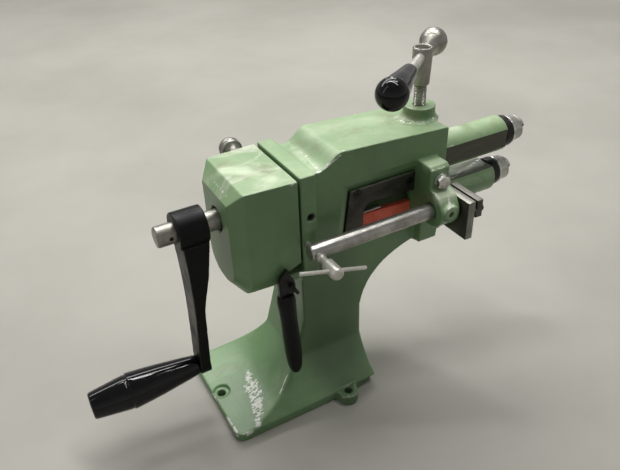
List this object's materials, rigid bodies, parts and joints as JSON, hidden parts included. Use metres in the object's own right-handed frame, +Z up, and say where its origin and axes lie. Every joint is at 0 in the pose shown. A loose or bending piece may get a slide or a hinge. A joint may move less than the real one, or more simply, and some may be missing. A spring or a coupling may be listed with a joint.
{
  "type": "bench bead roller",
  "caption": "Hand-cranked bench bead roller: two geared shafts with roller noses, a tilting upper arm with a pressure screw, a stop rod and a gear cover.",
  "frame": {"origin": "on the underside of the base, below the joint between the gear cover and the casting and midway across the machine", "axes": "+X runs along the two shafts towards the roller noses, -Y is the working side with the stop rod and the lever, +Z is up; the crank is at the -X end"},
  "size_m": [0.6599, 0.2336, 0.4477],
  "materials": {
    "green_paint": "semi-gloss enamel on cast iron, worn pale on the upper faces",
    "black_paint": "gloss black enamel",
    "black_plastic": "polished phenolic plastic",
    "black_steel": "blackened steel, satin",
    "dark_steel": "dark oxidised steel with bright edges",
    "bright_steel": "turned bright steel with small dark spots",
    "zinc_steel": "bright plated steel",
    "bronze": "sintered bronze, satin",
    "red_paint": "matt red paint"
  },
  "bodies": {
    "frame": {"body_casting": "green_paint", "gear_cover": "green_paint", "lower_arm": "green_paint", "lower_front_bush": "bronze", "lower_rear_bush": "bronze", "pivot_pin_front": "black_steel", "pivot_pin_back": "black_steel", "arm_guide_bolt": "zinc_steel", "arm_guide_washer": "zinc_steel", "rod_clamp_screw": "black_steel", "window_plate": "dark_steel", "window_plate_screw_1": "dark_steel", "window_plate_screw_2": "dark_steel", "red_bar": "red_paint", "steel_strip": "bright_steel", "lift_spring": "black_steel", "lever_pin": "black_steel"},
    "knob": {"cover_knob": "bright_steel"},
    "upper_arm_body": {"upper_arm": "green_paint", "upper_front_bush": "bronze", "upper_rear_bush": "bronze"},
    "upper_shaft_body": {"upper_shaft": "bright_steel", "upper_collar": "black_steel", "upper_gear": "dark_steel", "upper_gear_key": "bright_steel", "upper_gear_ring": "dark_steel", "crank_arm": "black_paint", "crank_key": "bright_steel", "crank_grip_pin": "bright_steel"},
    "crank_grip_body": {"crank_grip": "black_plastic"},
    "lower_shaft_body": {"lower_shaft": "bright_steel", "lower_collar": "black_steel", "lower_gear": "dark_steel", "lower_gear_key": "bright_steel", "lower_gear_nut": "dark_steel"},
    "shoe": {"pressure_shoe": "dark_steel"},
    "pressure_screw": {"pressure_spindle": "bright_steel", "screw_head": "bright_steel", "handle_bar": "bright_steel", "handle_grip": "black_plastic", "handle_weight": "bright_steel"},
    "gauge": {"gauge_rod": "bright_steel", "stop_block": "dark_steel", "stop_plate": "dark_steel", "stop_screw_1": "black_steel", "stop_screw_2": "black_steel"},
    "clamp_screw_body": {"clamping_screw": "bright_steel", "clamping_screw_bar": "bright_steel"},
    "lever": {"align_lever": "black_steel", "align_lever_grip": "black_plastic"}
  },
  "joints": [
    {"name": "knob_turn", "type": "hinge", "parent": "frame", "child": "knob", "pos_m": [-0.022, 0.06, 0.327], "axis": [0, 1, 0], "range_deg": [0, 1080]},
    {"name": "arm_tilt", "type": "hinge", "parent": "frame", "child": "upper_arm_body", "pos_m": [0.014, 0, 0.288], "axis": [0, 1, 0], "range_deg": [-0.62, 1.52], "deforming": ["lift_spring"]},
    {"name": "crank_turn", "type": "hinge", "parent": "upper_arm_body", "child": "upper_shaft_body", "pos_m": [0, 0, 0.288], "axis": [1, 0, 0], "continuous": true},
    {"name": "grip_spin", "type": "hinge", "parent": "upper_shaft_body", "child": "crank_grip_body", "pos_m": [-0.2, 0, 0.08], "axis": [1, 0, 0], "continuous": true},
    {"name": "lower_shaft_turn", "type": "hinge", "parent": "frame", "child": "lower_shaft_body", "pos_m": [0, 0, 0.228], "axis": [1, 0, 0], "continuous": true},
    {"name": "shoe_travel", "type": "slide", "parent": "frame", "child": "shoe", "axis": [0, 0, -1], "range_m": [-0.00205, 0.00505]},
    {"name": "pressure_screw_turn", "type": "hinge", "parent": "shoe", "child": "pressure_screw", "pos_m": [0.206, 0, 0.36], "axis": [0, 0, -1], "range_deg": [-180, 450]},
    {"name": "gauge_slide", "type": "slide", "parent": "frame", "child": "gauge", "axis": [1, 0, 0], "range_m": [0, 0.15]},
    {"name": "clamping_screw_turn", "type": "hinge", "parent": "gauge", "child": "clamp_screw_body", "pos_m": [0.0065, -0.1, 0.2545], "axis": [0, -1, 0], "range_deg": [0, 720]},
    {"name": "lever_swing", "type": "hinge", "parent": "frame", "child": "lever", "pos_m": [-0.021, -0.0625, 0.209], "axis": [0, 1, 0], "range_deg": [-25, 25]}
  ],
  "couplings": [
    {"joint": "arm_tilt", "follows": "pressure_screw_turn", "ratio": 0.0033157},
    {"joint": "shoe_travel", "follows": "pressure_screw_turn", "m_per_rad": 0.00063662},
    {"joint": "lower_shaft_turn", "follows": "crank_turn", "ratio": -1}
  ]
}
